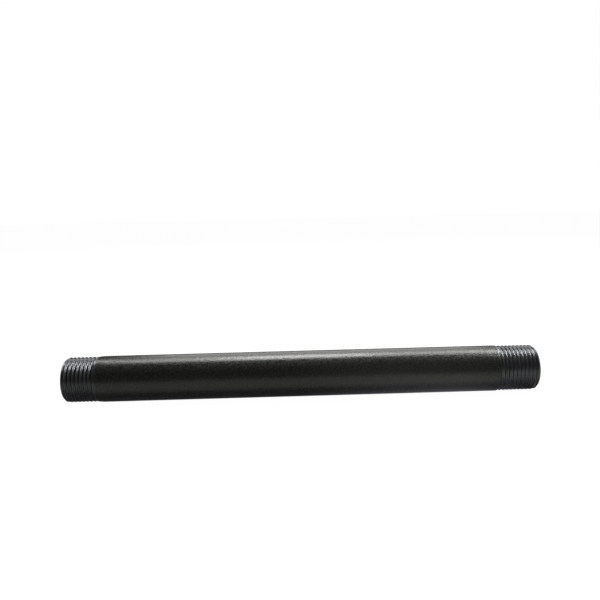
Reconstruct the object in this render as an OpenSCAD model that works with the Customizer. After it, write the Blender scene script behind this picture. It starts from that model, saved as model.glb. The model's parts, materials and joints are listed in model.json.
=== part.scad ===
// Threaded pipe nipple: a straight length of half-inch steel pipe with a male
// thread cut on each end and a textured powder coat on the plain barrel between.
// The pipe lies along X with its centre at the origin, and +X points to the end
// with the longer thread. All sizes are in millimetres.

/* [Pipe] */
// Overall length, from one end face to the other
overall_length = 220; // [100:1:400]
// Outside diameter of the bare pipe
pipe_od = 21.3; // [21.2:0.1:21.8]
// Thickness of the pipe wall
wall = 2.7; // [2.3:0.1:3.2]
// Radial depth of the chamfer round the outside of each end
end_chamfer = 0.9; // [0.7:0.1:1.7]
// Width of the deburred edge at each mouth of the bore
bore_chamfer = 0.4; // [0.2:0.1:0.6]

/* [Thread] */
// Turns of thread in one inch
turns_per_inch = 14; // [12:1:19]
// Major diameter of the thread, over its crests
thread_od = 20.955; // [20.7:0.005:21]
// Length of the thread on the left end, runout included
left_thread_length = 15.5; // [12:0.5:25]
// Length of the thread on the right end, runout included
right_thread_length = 18.6; // [12:0.1:25]
// How much higher the right thread's crests stand where it meets the barrel
right_crest_rise = 0.14; // [0:0.01:0.17]
// Straight sides in one turn of the modelled thread
turn_sides = 36; // [24:4:48]

/* [Barrel] */
// Thickness of the powder coat
coat_thickness = 0.08; // [0.05:0.01:0.12]
// Length of the slope from the left thread up to the full diameter
left_shoulder_length = 2.2; // [1:0.1:5]

/* [Weld seam] */
// Height of the trimmed weld bead inside the bore
bead_height = 0.2; // [0.1:0.05:0.25]
// Width of the weld bead
bead_width = 2.6; // [1.5:0.1:4]
// Where the bead lies round the bore, as degrees down from the front (-Y) side
bead_angle = 125; // [0:5:355]

/* [Hidden] */

// Sides of a full circle
$fn = 180;
mm_per_inch = 25.4;
half_length = overall_length / 2;
pipe_r = pipe_od / 2;
bore_r = pipe_r - wall;
coat_r = pipe_r + coat_thickness;

// Pipe thread of 55 degree form: its depth is a fixed share of the pitch
pitch = mm_per_inch / turns_per_inch;
flank_angle = 27.5;
thread_depth = 0.6403 * pitch;
crest_r = thread_od / 2;
core_r = crest_r - thread_depth;
pitch_r = crest_r - thread_depth / 2;
runout_length = 0.6 * pitch;
mouth_r = crest_r - end_chamfer;

// The end face's outer radius on the pipe itself, which a deep chamfer cuts below the
// thread's core, and the least length over which the core comes up from there
core_mouth_r = min(mouth_r, core_r);
core_step = 0.05;

// The modelled ridge starts and stops as a low step, and rises within part of a turn
blunt_height = 0.1;
rise_turns = 0.35;

// Flats on each half of the weld bead's crown
bead_steps = 4;

// Where each thread's runout meets the barrel
left_thread_end = left_thread_length - half_length;
right_thread_end = half_length - right_thread_length;

// Half the width of the thread ridge at a given radius
function ridge_half_width(r) = pitch / 4 - (r - pitch_r) * tan(flank_angle);

// A number held between two limits
function held(value, low, high) = min(max(value, low), high);

// Four corners of the ridge, as [radius, distance from the end face], where its
// middle is at distance x. Its height is limited by both ends' rise and the chamfer.
function ridge_corners(x, first_x, last_x, crest_rise) =
    let (
        rise = pitch * rise_turns,
        full_r = crest_r + crest_rise * held(x / last_x, 0, 1),
        share = held(min(x - first_x, last_x - x) / rise, 0, 1),
        low_r = core_r + blunt_height,
        top_r = min(low_r + (full_r - low_r) * share, mouth_r + x),
        // Corners of the flats lie outside the core's round surface
        base_r = core_r / cos(180 / turn_sides),
        base_w = ridge_half_width(core_r),
        top_w = ridge_half_width(top_r)
    )
    [[base_r, x - base_w], [top_r, x - top_w], [top_r, x + top_w], [base_r, x + base_w]];

// Helical ridge of a right-hand thread, with the end face at x = 0 and the barrel
// towards +X
module thread_ridge(thread_length, crest_rise) {
    first_x = ridge_half_width(core_r) + bore_chamfer / 2;
    last_x = thread_length - runout_length - ridge_half_width(core_r);
    steps = floor((last_x - first_x) / pitch * turn_sides);
    corners = 4;
    points = [
        for (i = [0:steps])
            let (angle = 360 * i / turn_sides, x = first_x + pitch * i / turn_sides)
            for (c = ridge_corners(x, first_x, first_x + pitch * steps / turn_sides, crest_rise))
                [c[1], c[0] * cos(angle), c[0] * sin(angle)]
    ];
    sides = [
        for (i = [0:steps - 1], j = [0:corners - 1])
            let (
                a = i * corners + j,
                b = i * corners + (j + 1) % corners,
                c = b + corners,
                d = a + corners
            )
            each [[a, b, c], [a, c, d]]
    ];
    first_cap = [for (j = [corners - 1:-1:0]) j];
    last_cap = [for (j = [0:corners - 1]) steps * corners + j];
    polyhedron(points = points, faces = concat([first_cap], sides, [last_cap]));
}

// Half of the pipe's section as [radius, x], from the left end face to the right.
// Each end is turned down to the thread's core and slopes up through the runout.
pipe_section = [
    [bore_r + bore_chamfer, -half_length],
    [core_mouth_r, -half_length],
    [core_r, -half_length + core_r - core_mouth_r + core_step],
    [core_r, left_thread_end - runout_length],
    [crest_r, left_thread_end],
    [pipe_r, left_thread_end + left_shoulder_length],
    [pipe_r, right_thread_end],
    [core_r, right_thread_end + runout_length],
    [core_r, half_length - core_r + core_mouth_r - core_step],
    [core_mouth_r, half_length],
    [bore_r + bore_chamfer, half_length],
    [bore_r, half_length - bore_chamfer],
    [bore_r, -half_length + bore_chamfer]
];

// Half of the powder coat's section as [radius, x]
coat_section = [
    [crest_r, left_thread_end],
    [crest_r + coat_thickness, left_thread_end],
    [coat_r, left_thread_end + left_shoulder_length],
    [coat_r, right_thread_end],
    [pipe_r, right_thread_end],
    [pipe_r, left_thread_end + left_shoulder_length]
];

// Crowned section of the weld bead: out along the bore's wall, and back over its crown
bead_span = asin(bead_width / 2 / bore_r);
bead_section = [
    for (k = [-bead_steps:bead_steps])
        let (angle = bead_span * k / bead_steps)
        bore_r * [sin(angle), -cos(angle)],
    for (k = [bead_steps - 1:-1:1 - bead_steps])
        let (
            angle = bead_span * k / bead_steps,
            crown_r = bore_r - bead_height * (1 - pow(k / bead_steps, 2))
        )
        crown_r * [sin(angle), -cos(angle)]
];

// Steel pipe, bored through, with both ends turned down under the threads
module pipe_wall() {
    color("dimgray")
    rotate([0, 90, 0])
    rotate_extrude()
    polygon(pipe_section);
}

// Thread ridge on the left end
module left_thread() {
    color("darkslategray")
    translate([-half_length, 0, 0])
    thread_ridge(left_thread_length, 0);
}

// Thread ridge on the right end, which is the left one's shape turned round
module right_thread() {
    color("darkslategray")
    translate([half_length, 0, 0])
    rotate([0, 0, 180])
    thread_ridge(right_thread_length, right_crest_rise);
}

// Textured powder coat on the plain barrel and its left shoulder
module barrel_coat() {
    color([0.07, 0.07, 0.075])
    rotate([0, 90, 0])
    rotate_extrude()
    polygon(coat_section);
}

// Low bead that the pipe's lengthwise weld leaves along the bore
module weld_bead() {
    color("slategray")
    rotate([bead_angle, 0, 0])
    rotate([0, 90, 0])
    linear_extrude(height = overall_length - 2 * bore_chamfer, center = true)
    polygon(bead_section);
}

pipe_wall();
left_thread();
right_thread();
barrel_coat();
weld_bead();
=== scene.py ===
import json
import math

import bpy
import numpy as np
from mathutils import Matrix, Quaternion, Vector, noise


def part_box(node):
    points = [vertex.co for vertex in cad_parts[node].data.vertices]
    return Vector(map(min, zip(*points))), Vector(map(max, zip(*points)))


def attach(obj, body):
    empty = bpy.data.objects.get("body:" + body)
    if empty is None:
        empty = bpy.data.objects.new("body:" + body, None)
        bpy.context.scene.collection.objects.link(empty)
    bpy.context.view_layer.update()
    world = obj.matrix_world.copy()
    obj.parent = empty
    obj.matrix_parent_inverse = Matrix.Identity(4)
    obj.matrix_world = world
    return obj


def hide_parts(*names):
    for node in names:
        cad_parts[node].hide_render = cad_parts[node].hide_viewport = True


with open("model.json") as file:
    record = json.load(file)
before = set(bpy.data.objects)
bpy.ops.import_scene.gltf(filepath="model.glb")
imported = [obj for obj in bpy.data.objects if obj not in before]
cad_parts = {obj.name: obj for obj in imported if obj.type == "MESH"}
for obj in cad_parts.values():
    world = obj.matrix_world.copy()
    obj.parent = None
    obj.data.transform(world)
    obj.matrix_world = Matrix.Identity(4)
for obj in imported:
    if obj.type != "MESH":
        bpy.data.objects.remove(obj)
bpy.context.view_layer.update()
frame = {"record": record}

# A threaded pipe nipple: a steel pipe with a thread cut on each end and a black
# textured powder coat between them. It lies along X, and +X is the longer thread's end.
MM = 0.001

# ---------------------------------------------------------------- sizes from the frame

mounts = {mount["name"]: mount for mount in frame["record"]["mounts"]}
pipe_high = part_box("pipe_wall")[1]
coat_low, coat_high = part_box("barrel_coat")

half_length = pipe_high.x
pipe_r = pipe_high.z
coat_r = min(coat_high.y, coat_high.z)
coat_thickness = coat_r - pipe_r
bore_r = mounts["bore"]["dims"]["r_mm"] * MM
crest_r = mounts["left_male_thread"]["dims"]["r_mm"] * MM
left_thread_length = coat_low.x + half_length
right_thread_length = half_length - coat_high.x
barrel_length = mounts["barrel"]["dims"]["length_mm"] * MM
shoulder_length = coat_high.x - coat_low.x - barrel_length
right_crest_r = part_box("right_thread")[1].z

# Half-inch pipe thread, 55 degree form
pitch = 25.4 * MM / 14
thread_depth = 0.6403 * pitch
core_r = crest_r - thread_depth
pitch_r = crest_r - thread_depth / 2
flank_slope = 1 / math.tan(math.radians(27.5))
end_chamfer = 0.9 * MM
mouth_r = crest_r - end_chamfer
bore_chamfer = 0.4 * MM

# Where each threaded sleeve sits on the steel pipe, and the gap left under the sleeves
# and the coat
seat_r = core_r - 0.12 * MM
sleeve_gap = 0.01 * MM
coat_gap = 0.02 * MM

# How far the black finish fills up the bottom of each thread's groove, and the lengths
# over which the groove's bottom, the crest and the chamfer's edge are rounded
left_root_fill = 0.4 * MM
right_root_fill = 0.52 * MM
root_round = 0.8 * MM
crest_round = 0.5 * MM
chamfer_round = 0.08 * MM

# How far before and after the thread's end the tool backs out of the groove, and how far
# past the groove's depth it is lifted
runout_before = 0.5 * pitch
runout_after = 0.15 * pitch
runout_lift = 0.35 * MM

# How far below the crests the wear on them starts, and how far below it is full
wear_start = 0.25 * MM
wear_full = 0.02 * MM

# Unevenness of the thread: the size of its lumps, and its height on roots and crests
wander_grain = 5 * MM
root_wander = 0.012 * MM
crest_wander = 0.015 * MM

# The coat's film: how far it lies inside the CAD's surface, the width and height of the
# lumps in its peel and grain, and how far along and down its edges round over
film_recess = 0.008 * MM
peel_size = 1.6 * MM
peel_height = 0.006 * MM
grain_size = 0.9 * MM
grain_height = 0.005 * MM
film_edge = 0.10 * MM
film_edge_drop = 0.6

# The weld bead, and how far its foot reaches into the pipe's wall
bead_width = 2.6 * MM
bead_height = 0.2 * MM
bead_foot = 0.02 * MM

# Mill scale in the bore: the width of its lumps, how many times longer they are than
# wide, their height, and how far outside the CAD's bore they are centred
scale_size = 2.5 * MM
scale_stretch = 6
scale_height = 0.02 * MM
scale_recess = 0.01 * MM

# Spacing along X of the points in each mesh
coat_spacing = 0.38 * MM
pipe_spacing = 2 * MM
bore_spacing = 1.5 * MM
bead_spacing = 0.6 * MM

# Straight sides in a full turn, and the angles above which edges stay sharp, in degrees
thread_sides = 192
coat_sides = 174
pipe_sides = 120
plain_sharp_angle = 38
thread_sharp_angle = 75


# ---------------------------------------------------------------------- mesh helpers

def smooth_min(a, b, blend):
    """The lower of two heights, with the edge between them rounded over about blend."""
    share = np.clip(0.5 + 0.5 * (b - a) / blend, 0, 1)
    return b + (a - b) * share - blend * share * (1 - share)


def smooth_max(a, b, blend):
    """The higher of two heights, rounded over in the same way."""
    return -smooth_min(-a, -b, blend)


def ease(value, start, end):
    """0 at start and 1 at end, with a smooth passage between them."""
    share = np.clip((value - start) / (end - start), 0, 1)
    return share * share * (3 - 2 * share)


def surface_noise(x, angle, radius, grain, stretch=1.0, seed=0.0):
    """Smooth noise between about -1 and 1 on a round surface. Its lumps are grain wide,
    and stretch times that along X."""
    along = x / (grain * stretch) + seed
    across = radius * np.cos(angle) / grain
    up = radius * np.sin(angle) / grain
    points = np.stack([along, across, up], axis=-1).reshape(-1, 3)
    return np.array([noise.noise(p) for p in points.tolist()]).reshape(x.shape)


def round_points(x, radius, angle):
    """Points on a round surface about X."""
    places = [x, radius * np.cos(angle), radius * np.sin(angle)]
    return np.stack(places, axis=-1).reshape(-1, 3)


def ring_grid(places, around):
    """Grids of x and of angle, for one ring of points at each place along X."""
    angles = np.linspace(0, 2 * math.pi, around, endpoint=False)
    return np.meshgrid(np.asarray(places, float), angles, indexing="ij")


def ring_faces(first, rows, around, flip):
    """Quads between neighbouring rings of a grid whose vertices start at first."""
    row, column = np.meshgrid(np.arange(rows - 1), np.arange(around), indexing="ij")
    after = (column + 1) % around
    a = first + row * around + column
    b = first + row * around + after
    c = first + (row + 1) * around + after
    d = first + (row + 1) * around + column
    quads = np.stack([a, d, c, b] if flip else [a, b, c, d], axis=-1)
    return quads.reshape(-1, 4)


def tube(name, outer_x, outer_radius, inner_x, inner_radius, around, sharp_angle):
    """A closed tube along X whose two walls are given as a radius at each (x, angle)."""
    vertices = []
    for places, radius in ((outer_x, outer_radius), (inner_x, inner_radius)):
        x, angle = ring_grid(places, around)
        vertices.append(round_points(x, radius(x, angle), angle))
    rows_out, rows_in = len(outer_x), len(inner_x)
    inner_first = rows_out * around
    faces = [
        ring_faces(0, rows_out, around, flip=False),
        ring_faces(inner_first, rows_in, around, flip=True),
    ]
    column = np.arange(around)
    after = (column + 1) % around
    last_out = (rows_out - 1) * around
    last_in = inner_first + (rows_in - 1) * around
    first_end = [inner_first + column, inner_first + after, after, column]
    last_end = [last_in + after, last_in + column, last_out + column, last_out + after]
    faces += [np.stack(first_end, axis=-1), np.stack(last_end, axis=-1)]
    return finished_object(name, np.concatenate(vertices), np.concatenate(faces), sharp_angle)


def finished_object(name, vertices, faces, sharp_angle):
    """A smooth-shaded object whose edges stay sharp above an angle."""
    mesh = bpy.data.meshes.new(name)
    mesh.from_pydata(vertices.tolist(), [], faces.tolist())
    mesh.validate()
    mesh.shade_smooth()
    mesh.set_sharp_from_angle(angle=math.radians(sharp_angle))
    piece = bpy.data.objects.new(name, mesh)
    bpy.context.scene.collection.objects.link(piece)
    return piece


def stations(*stretches):
    """Sorted places along X from (start, end, step) stretches."""
    parts = []
    for start, end, step in stretches:
        count = max(2, int(round(abs(end - start) / step)) + 1)
        parts.append(np.linspace(start, end, count))
    return np.unique(np.round(np.concatenate(parts), 9))


# ------------------------------------------------------------------------ the threads

def thread_radius(depth_in, angle, length, top_r, root_fill, phase, seed):
    """Outer radius of a threaded end at depth_in from its end face.

    The groove's bottom follows a right-hand helix, its sides slope at the flank angle,
    and the tool backs out over the last part of a turn. top_r is the crest beside the
    barrel."""
    turn = angle / (2 * math.pi) + phase
    nearest = np.round(depth_in / pitch - turn)
    groove_x = (nearest + turn) * pitch
    from_groove = np.abs(depth_in - groove_x)
    wander = surface_noise(depth_in, angle, crest_r, wander_grain, seed=seed)
    tool = pitch_r + (from_groove - pitch / 4) * flank_slope
    tool = smooth_max(tool, core_r + root_fill + root_wander * wander, root_round)
    runout = ease(groove_x, length - runout_before, length + runout_after)
    tool = tool + runout * (thread_depth + runout_lift)
    share = np.clip(depth_in / length, 0, 1)
    crest = crest_r + (top_r - crest_r) * share + crest_wander * wander
    radius = smooth_min(tool, crest, crest_round)
    chamfer = mouth_r + depth_in
    return smooth_min(radius, chamfer, chamfer_round)


def threaded_end(name, side, length, top_r, root_fill, phase, seed):
    """One threaded end as a closed sleeve. side is -1 for the left end and 1 for the right."""
    step = pitch / 30
    depths = np.linspace(0, length, int(length / step) + 1)
    places = depths - half_length if side < 0 else half_length - depths[::-1]

    def outer(x, angle):
        depth_in = half_length - np.abs(x)
        # Looking in from either end, the thread turns the same way
        turned = np.mod(angle if side < 0 else math.pi - angle, 2 * math.pi)
        return thread_radius(depth_in, turned, length, top_r, root_fill, phase, seed)

    def inner(x, angle):
        return np.full_like(x, seat_r)

    ends = [places[0], places[-1]]
    sleeve = tube(name, places, outer, ends, inner, thread_sides, thread_sharp_angle)
    mark_crests(sleeve)
    return sleeve


def mark_crests(sleeve):
    """Stores how near each vertex is to the thread's crest, for the wear there."""
    count = len(sleeve.data.vertices)
    places = np.empty(count * 3)
    sleeve.data.vertices.foreach_get("co", places)
    places = places.reshape(-1, 3)
    radius = np.hypot(places[:, 1], places[:, 2])
    share = ease(radius, crest_r - wear_start, crest_r - wear_full)
    crest = sleeve.data.attributes.new("crest", "FLOAT", "POINT")
    crest.data.foreach_set("value", share.astype(np.float32))


# --------------------------------------------------------------------------- the coat

def bare_outline(x):
    """The bare pipe's radius at x, under the coat."""
    return np.interp(x, [coat_low.x, coat_low.x + shoulder_length], [crest_r, pipe_r])


def coat_outline(x):
    """The coat's outer radius at x: level, with a slope down to the left thread."""
    slope = np.clip((x - coat_low.x) / shoulder_length, 0, 1)
    left_r = crest_r + coat_thickness
    return left_r + (coat_r - left_r) * ease(slope, 0, 1)


def coated_barrel():
    """The powder coat as a closed sleeve, with the film's peel and grain in its surface."""
    places = stations(
        (coat_low.x, coat_low.x + 3 * film_edge, film_edge / 4),
        (coat_low.x, coat_high.x, coat_spacing),
        (coat_high.x - 3 * film_edge, coat_high.x, film_edge / 4),
    )

    def outer(x, angle):
        peel = surface_noise(x, angle, coat_r, peel_size, seed=3.0)
        grain = surface_noise(x, angle, coat_r, grain_size, seed=9.0)
        radius = coat_outline(x) - film_recess + peel_height * peel + grain_height * grain
        radius = np.minimum(radius, coat_outline(x))
        # The film rounds over at both ends
        from_end = np.minimum(x - coat_low.x, coat_high.x - x)
        over = np.clip(1 - from_end / film_edge, 0, 1)
        return radius - film_edge_drop * coat_thickness * over * over

    def inner(x, angle):
        return bare_outline(x)

    inner_places = [coat_low.x, coat_low.x + shoulder_length, coat_high.x]
    return tube(
        "barrel_coat_skin", places, outer, inner_places, inner, coat_sides, plain_sharp_angle
    )


# --------------------------------------------------------------------- pipe and weld

def steel_pipe():
    """The pipe inside the coat and the threaded sleeves, with mill scale in its bore."""
    # The radius changes over this length, where the coat meets each sleeve
    step = 0.01 * MM
    places = stations(
        (-half_length, coat_low.x - step, pipe_spacing),
        (coat_low.x, coat_high.x, pipe_spacing),
        (coat_high.x + step, half_length, pipe_spacing),
    )
    bore_places = stations(
        (-half_length, -half_length + bore_chamfer * 1.5, bore_chamfer / 6),
        (-half_length, half_length, bore_spacing),
        (half_length - bore_chamfer * 1.5, half_length, bore_chamfer / 6),
    )

    def outer(x, angle):
        coated = (x >= coat_low.x) & (x <= coat_high.x)
        return np.where(coated, bare_outline(x) - coat_gap, seat_r - sleeve_gap)

    def inner(x, angle):
        from_end = half_length - np.abs(x)
        flare = bore_r + bore_chamfer - from_end
        lumps = surface_noise(x, angle, bore_r, scale_size, stretch=scale_stretch, seed=21.0)
        scale = scale_height * lumps
        bore = bore_r + scale_recess + scale * (from_end > bore_chamfer)
        return smooth_max(flare, bore, chamfer_round)

    return tube("steel_pipe", places, outer, bore_places, inner, pipe_sides, plain_sharp_angle)


def slab_faces(rows, columns):
    """Quads of a closed slab whose lower grid of vertices comes first, then its upper one."""
    count = rows * columns
    row, column = np.meshgrid(np.arange(rows - 1), np.arange(columns - 1), indexing="ij")
    corner = (row * columns + column).ravel()
    lower = np.stack([corner, corner + 1, corner + columns + 1, corner + columns], axis=-1)
    faces = [lower, lower[:, ::-1] + count]
    along = np.arange(rows - 1) * columns
    across = np.arange(columns - 1)
    borders = (
        (across, 1, True),
        (across + (rows - 1) * columns, 1, False),
        (along, columns, False),
        (along + columns - 1, columns, True),
    )
    for near, step, turned in borders:
        border = np.stack([near, near + step, near + step + count, near + count], axis=-1)
        faces.append(border[:, ::-1] if turned else border)
    return np.concatenate(faces)


def weld_seam():
    """The weld's flash along the bore, a low bead with the ripples the welder leaves."""
    low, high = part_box("weld_bead")
    middle = math.atan2((low.z + high.z) / 2, (low.y + high.y) / 2)
    places = stations((low.x, high.x, bead_spacing))
    across = np.linspace(-1, 1, 17)
    x, t = np.meshgrid(places, across, indexing="ij")
    ripple = surface_noise(x, t, 0.4, 1.1 * MM, seed=5.0)
    sway = surface_noise(x, np.zeros_like(t), 1.0, 14 * MM, seed=8.0)
    angle = middle + t * (bead_width / 2 / bore_r) * (1 + 0.12 * sway)
    crown = bead_height * (1 - t * t) ** 1.3 * (0.82 + 0.16 * ripple)
    foot = round_points(x, np.full_like(x, bore_r + bead_foot), angle)
    top = round_points(x, bore_r - crown, angle)
    faces = slab_faces(len(places), len(across))
    return finished_object("weld_seam", np.concatenate([foot, top]), faces, plain_sharp_angle)


# -------------------------------------------------------------------------- materials

class Surface:
    """A Principled material, with short calls for the nodes that feed it."""

    def __init__(self, name):
        self.material = bpy.data.materials.new(name)
        self.material.use_nodes = True
        self.tree = self.material.node_tree
        self.shader = self.tree.nodes["Principled BSDF"]
        self.place = self.node("ShaderNodeTexCoord").outputs["Object"]

    def node(self, kind, **settings):
        """A new node with the given settings."""
        node = self.tree.nodes.new(kind)
        for key, value in settings.items():
            setattr(node, key, value)
        return node

    def set(self, **values):
        """Numbers and colours that are the same all over go on the shader's own sockets."""
        for key, value in values.items():
            self.shader.inputs[key.replace("_", " ")].default_value = value

    def link(self, source, target):
        self.tree.links.new(source, target)

    def stretched(self, along_x, across):
        """Object coordinates counted in lumps of the given sizes."""
        mapping = self.node("ShaderNodeMapping")
        mapping.inputs["Scale"].default_value = (1 / along_x, 1 / across, 1 / across)
        self.link(self.place, mapping.inputs["Vector"])
        return mapping.outputs["Vector"]

    def noise(self, along_x, across, detail=2.0, roughness=0.5):
        """Smooth noise from 0 to 1, in lumps of the given sizes."""
        node = self.node("ShaderNodeTexNoise")
        node.inputs["Scale"].default_value = 1.0
        node.inputs["Detail"].default_value = detail
        node.inputs["Roughness"].default_value = roughness
        self.link(self.stretched(along_x, across), node.inputs["Vector"])
        return node.outputs["Fac"]

    def cells(self, size, smoothness=0.6):
        """Rounded cells of the given size."""
        node = self.node("ShaderNodeTexVoronoi", feature="SMOOTH_F1")
        node.inputs["Scale"].default_value = 1.0
        node.inputs["Smoothness"].default_value = smoothness
        self.link(self.stretched(size, size), node.inputs["Vector"])
        return node.outputs["Distance"]

    def ranged(self, source, low, high, to_low, to_high):
        """A value carried from one range to another, and held within it."""
        node = self.node("ShaderNodeMapRange", clamp=True)
        node.inputs["From Min"].default_value = low
        node.inputs["From Max"].default_value = high
        node.inputs["To Min"].default_value = to_low
        node.inputs["To Max"].default_value = to_high
        self.link(source, node.inputs["Value"])
        return node.outputs["Result"]

    def ramp(self, source, *stops):
        """A colour ramp with (place, colour) stops."""
        node = self.node("ShaderNodeValToRGB")
        elements = node.color_ramp.elements
        while len(elements) < len(stops):
            elements.new(0.5)
        for element, (place, colour) in zip(elements, stops):
            element.position = place
            element.color = (*colour, 1)
        self.link(source, node.inputs["Fac"])
        return node.outputs["Color"]

    def attribute(self, name):
        return self.node("ShaderNodeAttribute", attribute_name=name).outputs["Fac"]

    def product(self, a, b):
        node = self.node("ShaderNodeMath", operation="MULTIPLY")
        self.link(a, node.inputs[0])
        self.link(b, node.inputs[1])
        return node.outputs["Value"]

    def blend(self, share, colour, other):
        """From a colour that varies to another one, by share."""
        node = self.node("ShaderNodeMix", data_type="RGBA")
        self.link(share, node.inputs["Factor"])
        self.link(colour, node.inputs[6])
        node.inputs[7].default_value = (*other, 1)
        return node.outputs[2]

    def colour(self, source):
        self.link(source, self.shader.inputs["Base Color"])

    def metallic(self, source):
        self.link(source, self.shader.inputs["Metallic"])

    def roughness(self, source):
        self.link(source, self.shader.inputs["Roughness"])

    def bump(self, *layers):
        """Each layer is (height from 0 to 1, how high 1 is in metres)."""
        normal = None
        for height, distance in layers:
            node = self.node("ShaderNodeBump")
            node.inputs["Distance"].default_value = distance
            self.link(height, node.inputs["Height"])
            if normal:
                self.link(normal, node.inputs["Normal"])
            normal = node.outputs["Normal"]
        self.link(normal, self.shader.inputs["Normal"])


def textured_coat():
    """Black powder coat with a fine sand texture."""
    s = Surface("textured_coat")
    s.set(Specular_IOR_Level=0.5, IOR=1.5)
    grain = s.noise(0.6 * MM, 0.6 * MM, detail=0.0)
    fine = s.cells(0.35 * MM)
    patch = s.noise(9 * MM, 9 * MM, detail=3.0)
    s.colour(s.ramp(patch, (0.3, (0.0160, 0.0162, 0.0150)), (0.7, (0.0195, 0.0197, 0.0184))))
    pits = s.noise(0.55 * MM, 0.55 * MM, detail=0.0)
    s.roughness(s.ranged(pits, 0.37, 0.63, 0.17, 0.37))
    s.bump((grain, 0.06 * MM), (fine, 0.004 * MM))
    return s.material


def blackened_thread():
    """Steel blackened after cutting, with tool marks round it and crests rubbed brighter."""
    s = Surface("blackened_thread")
    s.set(Specular_IOR_Level=0.5, IOR=1.7, Specular_Tint=(0.88, 0.92, 1, 1))
    marks = s.noise(0.12 * MM, 9 * MM, detail=1.0)
    patch = s.noise(3 * MM, 3 * MM, detail=3.0)
    rub = s.noise(1.2 * MM, 1.2 * MM, detail=3.0)
    worn = s.product(s.attribute("crest"), s.ranged(rub, 0.35, 0.65, 0.35, 1.0))
    black = s.ramp(patch, (0.3, (0.0208, 0.0214, 0.0242)), (0.7, (0.0275, 0.0282, 0.0315)))
    s.colour(s.blend(worn, black, (0.045, 0.045, 0.047)))
    s.metallic(s.ranged(worn, 0.0, 1.0, 0.0, 0.08))
    s.roughness(s.ranged(patch, 0.3, 0.7, 0.23, 0.27))
    s.bump((marks, 0.0012 * MM), (patch, 0.006 * MM))
    return s.material


def bare_steel():
    """Dark steel with mill scale and draw marks along the bore."""
    s = Surface("bare_steel")
    s.set(Metallic=0.7)
    marks = s.noise(12 * MM, 0.25 * MM, detail=3.0)
    scale = s.noise(4 * MM, 1.5 * MM, detail=4.0, roughness=0.6)
    dark = (0.3, (0.030, 0.028, 0.027))
    grey = (0.55, (0.055, 0.052, 0.050))
    rusty = (0.75, (0.10, 0.085, 0.07))
    s.colour(s.ramp(scale, dark, grey, rusty))
    s.roughness(s.ranged(scale, 0.3, 0.7, 0.38, 0.62))
    s.bump((marks, 0.012 * MM), (scale, 0.03 * MM))
    return s.material


def weld_scale():
    """Grey-blue scale on the weld's flash."""
    s = Surface("weld_scale")
    s.set(Metallic=0.6)
    lumps = s.noise(0.6 * MM, 0.4 * MM, detail=3.0)
    s.colour(s.ramp(lumps, (0.3, (0.035, 0.036, 0.042)), (0.7, (0.09, 0.085, 0.08))))
    s.roughness(s.ranged(lumps, 0.3, 0.7, 0.35, 0.6))
    s.bump((lumps, 0.03 * MM))
    return s.material


# ------------------------------------------------------------------------- the pieces

def dress(piece, nodes, material):
    """Gives a piece its material, attaches it to the root body, and hides the CAD nodes that
    it stands in for.
    """
    piece.data.materials.append(material)
    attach(piece, "root")
    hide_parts(*nodes)


thread_material = blackened_thread()
left_turns = threaded_end(
    "left_thread_turns", -1, left_thread_length, crest_r, left_root_fill,
    phase=0.09, seed=31.0,
)
right_turns = threaded_end(
    "right_thread_turns", 1, right_thread_length, right_crest_r, right_root_fill,
    phase=0.89, seed=47.0,
)
dress(left_turns, ["left_thread"], thread_material)
dress(right_turns, ["right_thread"], thread_material)
dress(coated_barrel(), ["barrel_coat"], textured_coat())
dress(steel_pipe(), ["pipe_wall"], bare_steel())
dress(weld_seam(), ["weld_bead"], weld_scale())


# --------------------------------------------------------------- floor, light, camera

def flat_sheet(name, low, high):
    """A flat sheet that the pipe rests on, between two (x, y) corners."""
    corners = [(low[0], low[1]), (high[0], low[1]), (high[0], high[1]), (low[0], high[1])]
    vertices = np.array([(x, y, -coat_r) for x, y in corners])
    sheet = finished_object(name, vertices, np.array([(0, 1, 2, 3)]), plain_sharp_angle)
    return sheet


def pale_floor():
    """The floor that the camera sees: white, with a very faint shadow under the pipe."""
    floor = flat_sheet("pale_floor", (-8.0, -8.0), (8.0, 8.0))
    s = Surface("pale_floor")
    s.set(Base_Color=(0.08, 0.08, 0.08, 1), Roughness=0.8, Specular_IOR_Level=0.0)
    s.set(Emission_Color=(1, 1, 1, 1), Emission_Strength=0.985)
    floor.data.materials.append(s.material)
    floor.visible_diffuse = False
    floor.visible_glossy = False
    floor.visible_shadow = False


def table_top():
    """The floor that the pipe reflects, glowing with painted light. It ends before the camera,
    where the room is dark.
    """
    table = flat_sheet("table_top", (-1.2, -0.2), (1.2, 0.6))
    table.location.z = -0.05 * MM
    s = Surface("table_top")
    s.set(Base_Color=(0.31, 0.31, 0.275, 1), Roughness=0.8, Specular_IOR_Level=0.0)
    # Painted light: the table glows, rising towards +X and fading out past the right thread,
    # as a pool of bounce light put into its emission
    s.set(Emission_Color=(0.99, 1, 1.12, 1))
    along = s.node("ShaderNodeSeparateXYZ")
    s.link(s.place, along.inputs[0])
    painted_light_glow = s.product(
        s.ranged(along.outputs["X"], 0.0, 0.07, 0.08, 0.31),
        s.ranged(along.outputs["X"], 0.075, 0.11, 1.0, 0.08),
    )
    s.link(painted_light_glow, s.shader.inputs["Emission Strength"])
    table.data.materials.append(s.material)
    table.visible_camera = False


def softbox(name, place, target, size_x, size_y, radiance, turn=0.0):
    """A rectangular area light of even brightness, aimed from place to target and turned
    about that line by some degrees."""
    light = bpy.data.lights.new(name, "AREA")
    light.shape = "RECTANGLE"
    light.size = size_x
    light.size_y = size_y
    light.energy = radiance * math.pi * size_x * size_y
    light.color = (1, 1, 0.975)
    lamp = bpy.data.objects.new(name, light)
    lamp.location = place
    aim = Vector(target) - Vector(place)
    turned = aim.to_track_quat("-Z", "Y") @ Quaternion((0, 0, 1), math.radians(turn))
    lamp.rotation_euler = turned.to_euler()
    lamp.visible_camera = False
    bpy.context.scene.collection.objects.link(lamp)


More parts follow.
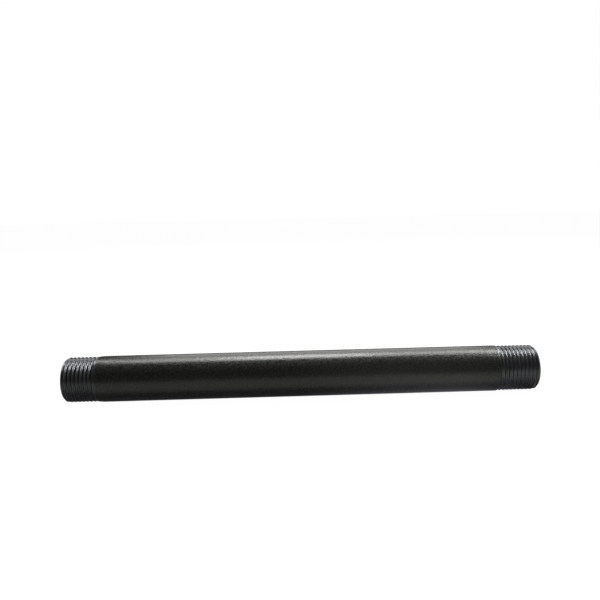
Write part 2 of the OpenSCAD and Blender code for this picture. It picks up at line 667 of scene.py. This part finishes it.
def white_surround():
    """A plain white background that lights nothing."""
    world = bpy.data.worlds.new("studio")
    world.use_nodes = True
    world.node_tree.nodes["Background"].inputs["Color"].default_value = (1, 1, 1, 1)
    world.cycles_visibility.diffuse = False
    world.cycles_visibility.glossy = False
    bpy.context.scene.world = world


def photo_camera():
    """A short lens near the object, a little above it, with a slight tilt of its own."""
    elevation = math.radians(16)
    distance = 0.2741
    aside = -0.0047
    yaw = math.radians(1.021)
    pitch_down = math.radians(8.724)
    roll = math.radians(-1.328)
    data = bpy.data.cameras.new("camera")
    data.sensor_width = 36
    data.lens = 34.44
    camera = bpy.data.objects.new("camera", data)
    turn = (
        Matrix.Rotation(-yaw, 4, "Z")
        @ Matrix.Rotation(math.pi / 2 - pitch_down, 4, "X")
        @ Matrix.Rotation(roll, 4, "Z")
    )
    place = Vector((aside, -distance * math.cos(elevation), distance * math.sin(elevation)))
    camera.matrix_world = Matrix.Translation(place) @ turn
    bpy.context.scene.collection.objects.link(camera)
    bpy.context.scene.camera = camera


pale_floor()
table_top()
white_surround()
softbox("overhead_softbox", (-0.03, 0.179, 0.55), (-0.03, 0.179, 0), 0.5, 0.22, 5.6, turn=4.4)
softbox("near_right_softbox", (0.29, 0.203, 0.55), (0.29, 0.203, 0), 0.14, 0.22, 8.4, turn=4.4)
softbox("middle_softbox", (0.005, 0.18, 0.52), (0.005, 0.18, 0), 0.2, 0.20, 8.8)
softbox("left_softbox", (-0.41, 0.265, 0.54), (-0.41, 0.265, 0), 0.24, 0.2, 5.0)
softbox("right_softbox", (0.46, 0.085, 0.53), (0.46, 0.085, 0), 0.2, 0.24, 28)
softbox("front_panel", (0.14, -0.42, 0.17), (0.14, 0, 0.05), 0.16, 0.4, 0.2)
softbox("front_wall", (0, -0.6, 0.12), (0, 0, 0.05), 1.2, 0.3, 0.09)
softbox("back_panel", (0.06, 0.8, 0.68), (0.06, 0.1, 0), 0.8, 0.85, 1.9)
softbox("left_panel", (-0.7, 0.1, 0.2), (0, 0, 0), 0.5, 0.5, 0.6)
softbox("right_panel", (0.7, 0.1, 0.2), (0, 0, 0), 0.5, 0.5, 0.6)
photo_camera()
bpy.context.scene.view_settings.view_transform = "Standard"
